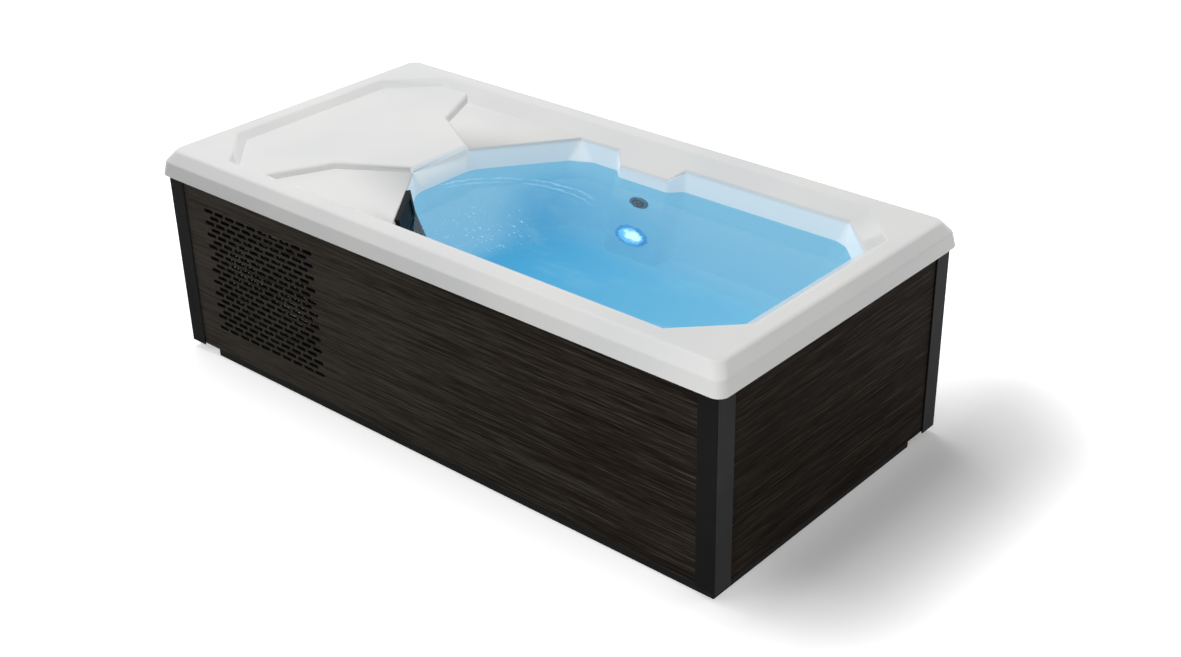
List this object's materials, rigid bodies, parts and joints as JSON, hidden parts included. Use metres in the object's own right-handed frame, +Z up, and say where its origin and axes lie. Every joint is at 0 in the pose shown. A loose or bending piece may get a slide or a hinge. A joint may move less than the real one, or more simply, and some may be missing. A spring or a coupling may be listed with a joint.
{
  "type": "cold plunge tub",
  "caption": "Rectangular cold plunge tub: white moulded shell with a deck and deep faceted basin in a dark panelled cabinet that holds a chiller, pump and filter.",
  "frame": {"origin": "on the floor under the middle of the tub", "axes": "+X along the tub to its foot end, away from the deck; +Y to the back, away from the grille; +Z up"},
  "size_m": [2.134, 1.078, 0.678],
  "materials": {
    "acrylic": "glossy white moulded acrylic",
    "panel": "dark brown wood-grain board",
    "post": "charcoal satin profile",
    "black_plastic": "black satin moulding",
    "strip": "soft sealing strip",
    "timber": "planed timber",
    "board": "rigid foam board",
    "foam": "rigid foam",
    "grey_plastic": "grey moulding",
    "filter": "pleated filter medium",
    "lamp_ring": "translucent blue ring",
    "lens": "clear lens",
    "hose": "flexible hose",
    "lever": "red moulding",
    "steel": "plain steel",
    "enamel": "black enamel",
    "fins": "finned aluminium",
    "copper": "copper pipe"
  },
  "bodies": {
    "cabinet": {"tub_shell": "acrylic", "front_panel": "panel", "back_panel": "panel", "head_panel": "panel", "foot_panel": "panel", "corner_post_front_head": "post", "corner_post_front_foot": "post", "corner_post_back_head": "post", "corner_post_back_foot": "post", "base_pan": "black_plastic", "jet_ring": "black_plastic", "floor_drain": "black_plastic", "fan_shroud": "black_plastic", "pump_head": "black_plastic", "cable_gland": "black_plastic", "rim_strip": "strip", "bottom_rail_front": "timber", "bottom_rail_back": "timber", "bottom_rail_head": "timber", "bottom_rail_foot": "timber", "top_rail_front": "timber", "top_rail_back": "timber", "top_rail_head": "timber", "top_rail_foot": "timber", "upright_front_head": "timber", "upright_front_foot": "timber", "upright_back_head": "timber", "upright_back_foot": "timber", "front_board": "board", "back_board": "board", "foot_board": "board", "floor_block": "foam", "skimmer_body": "grey_plastic", "jet_body": "grey_plastic", "lamp_housing": "grey_plastic", "drain_valve": "grey_plastic", "control_box": "grey_plastic", "filter_cartridge": "filter", "lamp_ring": "lamp_ring", "lamp_lens": "lens", "drain_hose": "hose", "skimmer_hose": "hose", "pump_hose": "hose", "return_hose": "hose", "fan_bracket": "steel", "heat_exchanger": "steel", "pump_motor": "steel", "compressor": "enamel", "fan_motor": "enamel", "condenser_coil": "fins", "discharge_line": "copper", "suction_line": "copper", "liquid_line": "copper"},
    "fan": {"fan_rotor": "black_plastic"},
    "impeller": {"pump_impeller": "grey_plastic"},
    "cover": {"filter_cover": "black_plastic"},
    "flap": {"weir_flap": "black_plastic"},
    "nozzle": {"jet_nozzle": "black_plastic"},
    "lever": {"drain_lever": "lever"}
  },
  "joints": [
    {"name": "fan_spin", "type": "hinge", "parent": "cabinet", "child": "fan", "pos_m": [-0.649, -0.457, 0.321], "axis": [0, 1, 0], "continuous": true},
    {"name": "impeller_spin", "type": "hinge", "parent": "cabinet", "child": "impeller", "pos_m": [-0.477, -0.17, 0.11], "axis": [1, 0, 0], "continuous": true},
    {"name": "cover_lift", "type": "slide", "parent": "cabinet", "child": "cover", "axis": [-0.1097, -0.0847, 0.9903], "range_m": [0, 0.3]},
    {"name": "flap_swing", "type": "hinge", "parent": "cover", "child": "flap", "pos_m": [-0.2392, -0.28879, 0.55881], "axis": [0.6112, -0.7915, 0], "range_deg": [0, 70]},
    {"name": "nozzle_turn", "type": "hinge", "parent": "cabinet", "child": "nozzle", "pos_m": [0.101, 0.33682, 0.453], "axis": [0, -0.9903, 0.1386], "range_deg": [0, 120]},
    {"name": "lever_turn", "type": "hinge", "parent": "cabinet", "child": "lever", "pos_m": [-0.48, 0.4764, 0.13], "axis": [0, 0, 1], "range_deg": [0, 90]}
  ]
}
